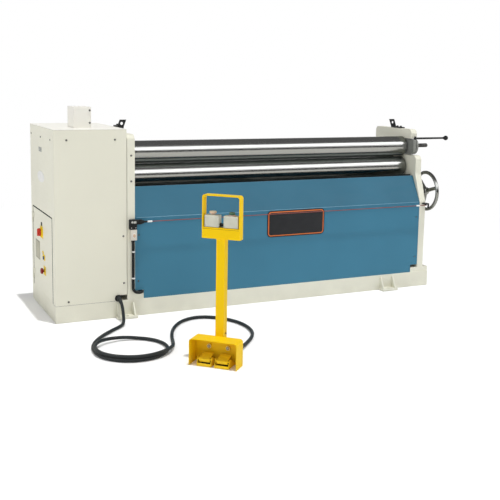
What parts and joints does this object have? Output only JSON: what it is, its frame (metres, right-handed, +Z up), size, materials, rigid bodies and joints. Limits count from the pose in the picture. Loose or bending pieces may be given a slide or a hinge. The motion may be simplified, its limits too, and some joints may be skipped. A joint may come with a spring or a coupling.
{
  "type": "plate rolling machine",
  "caption": "Plate rolling machine with three steel rolls between two side frames, a drive cabinet, a handwheel, a swing-out bearing and a foot-control stand on a floor cable.",
  "frame": {"origin": "middle of the four anchor bolt holes, at floor level", "axes": "+X along the rolls from the cabinet to the free end, +Y from the operator's side to the back, +Z up"},
  "size_m": [2.759, 1.78, 1.196],
  "materials": {
    "cream_paint": "semi-gloss",
    "blue_paint": "semi-gloss",
    "yellow_paint": "gloss",
    "roll_steel": "ground and polished",
    "machined_steel": "machined",
    "zinc_steel": "zinc plated",
    "blackened_steel": "black oxide",
    "chrome": "polished",
    "black_plastic": "matte",
    "grey_plastic": "matte",
    "cream_plastic": "matte",
    "red_plastic": "gloss",
    "yellow_plastic": "gloss",
    "tan_plastic": "gloss",
    "green_plastic": "gloss",
    "wire_sheath": "gloss",
    "cable_rubber": "matte"
  },
  "bodies": {
    "root": {"base_frame": "cream_paint", "anchor_feet": "cream_paint", "left_side_frame": "cream_paint", "right_side_frame": "cream_paint", "left_frame_cover": "cream_paint", "tie_beam": "cream_paint", "front_panel": "blue_paint", "rear_panel": "blue_paint", "bending_roll": "roll_steel", "lifting_lugs": "blackened_steel", "handwheel_bearing": "cream_paint", "cabinet_front_cover": "cream_paint", "cabinet_side_cover": "cream_paint", "cabinet_back_cover": "cream_paint", "cabinet_lid": "cream_paint", "guard_box": "cream_paint", "electrical_box": "cream_paint", "mounting_plate": "zinc_steel", "door_hinges": "zinc_steel", "trip_switch_head": "black_plastic", "trip_switch_box": "cream_plastic", "trip_wire": "wire_sheath", "wire_brackets": "blackened_steel", "switch_conduit": "black_plastic", "conduit_clips": "cream_plastic", "pedestal_hood": "yellow_paint", "pedestal_post": "yellow_paint", "control_bracket": "yellow_paint", "control_boxes": "grey_plastic", "pedal_bases": "yellow_paint", "control_cable": "cable_rubber", "cable_glands": "black_plastic"},
    "top_roll": {"top_roll": "roll_steel"},
    "pinch_roll": {"pinch_roll": "roll_steel"},
    "swing_bearing": {"swing_bearing_block": "machined_steel"},
    "release_lever": {"release_lever": "blackened_steel"},
    "handwheel": {"handwheel": "chrome"},
    "electrical_door": {"electrical_door": "cream_paint", "door_plates": "yellow_plastic", "door_label_plate": "zinc_steel", "door_buttons": "yellow_plastic"},
    "main_switch": {"main_switch_handle": "red_plastic"},
    "emergency_stop": {"emergency_stop_head": "red_plastic"},
    "left_button": {"button_left": "tan_plastic"},
    "right_button": {"button_right": "green_plastic"},
    "left_pedal": {"pedal_left": "yellow_paint"},
    "right_pedal": {"pedal_right": "yellow_paint"}
  },
  "joints": [
    {"name": "swing_out", "type": "hinge", "parent": "root", "child": "swing_bearing", "pos_m": [-0.8595, -0.085, 0.93], "axis": [0, 0, -1], "range_deg": [0, 8]},
    {"name": "top_roll_spin", "type": "hinge", "parent": "swing_bearing", "child": "top_roll", "pos_m": [-0.8595, -0.085, 0.93], "axis": [1, 0, 0], "continuous": true},
    {"name": "pinch_roll_spin", "type": "hinge", "parent": "root", "child": "pinch_roll", "pos_m": [-0.8595, -0.085, 0.794], "axis": [1, 0, 0], "continuous": true},
    {"name": "release_lever_turn", "type": "hinge", "parent": "swing_bearing", "child": "release_lever", "pos_m": [1.1645, -0.198, 0.9875], "axis": [0, 0, -1], "range_deg": [0, 70]},
    {"name": "handwheel_turn", "type": "hinge", "parent": "root", "child": "handwheel", "pos_m": [1.251, -0.225, 0.632], "axis": [1, 0, 0], "continuous": true},
    {"name": "electrical_door_swing", "type": "hinge", "parent": "root", "child": "electrical_door", "pos_m": [-1.298, 0.267, 0.342], "axis": [0, 0, -1], "range_deg": [0, 110]},
    {"name": "main_switch_turn", "type": "hinge", "parent": "electrical_door", "child": "main_switch", "pos_m": [-1.306, 0.025, 0.461], "axis": [-1, 0, 0], "range_deg": [0, 90]},
    {"name": "emergency_stop_press", "type": "slide", "parent": "electrical_door", "child": "emergency_stop", "axis": [1, 0, 0], "range_m": [0, 0.005]},
    {"name": "left_button_press", "type": "slide", "parent": "root", "child": "left_button", "axis": [0, 0, -1], "range_m": [0, 0.004], "stiffness_N_per_m": 300, "springref_m": -0.004},
    {"name": "right_button_press", "type": "slide", "parent": "root", "child": "right_button", "axis": [0, 0, -1], "range_m": [0, 0.004], "stiffness_N_per_m": 300, "springref_m": -0.004},
    {"name": "left_pedal_press", "type": "hinge", "parent": "root", "child": "left_pedal", "pos_m": [-0.79521, -1.27916, 0.034], "axis": [-0.7071, 0.7071, 0], "range_deg": [0, 8], "stiffness_Nm_per_rad": 6, "springref_deg": -8.59},
    {"name": "right_pedal_press", "type": "hinge", "parent": "root", "child": "right_pedal", "pos_m": [-0.73016, -1.34421, 0.034], "axis": [-0.7071, 0.7071, 0], "range_deg": [0, 8], "stiffness_Nm_per_rad": 6, "springref_deg": -8.59}
  ],
  "couplings": [
    {"joint": "pinch_roll_spin", "follows": "top_roll_spin", "ratio": -1}
  ]
}
